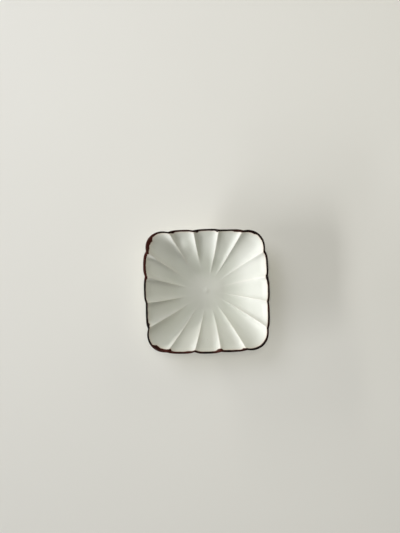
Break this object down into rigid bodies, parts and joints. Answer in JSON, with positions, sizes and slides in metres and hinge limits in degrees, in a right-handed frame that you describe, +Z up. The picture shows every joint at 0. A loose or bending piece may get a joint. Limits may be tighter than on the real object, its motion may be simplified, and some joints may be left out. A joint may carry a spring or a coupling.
{
  "type": "soy sauce dish",
  "caption": "Square fluted porcelain soy sauce dish with a scalloped brown-edged lip, a shallow well and a low square foot ring.",
  "frame": {"origin": "centre of the dish, on the table that its foot stands on", "axes": "+Z up out of the well, +X and +Y square to the dish's four like sides"},
  "size_m": [0.0913, 0.0903, 0.023],
  "materials": {
    "porcelain": "matte",
    "white_glaze": "satin",
    "iron_glaze": "gloss"
  },
  "bodies": {
    "root": {"dish_body": "porcelain", "foot_ring": "porcelain", "inside_glaze": "white_glaze", "outside_glaze": "white_glaze", "lip_glaze": "iron_glaze"}
  },
  "joints": []
}
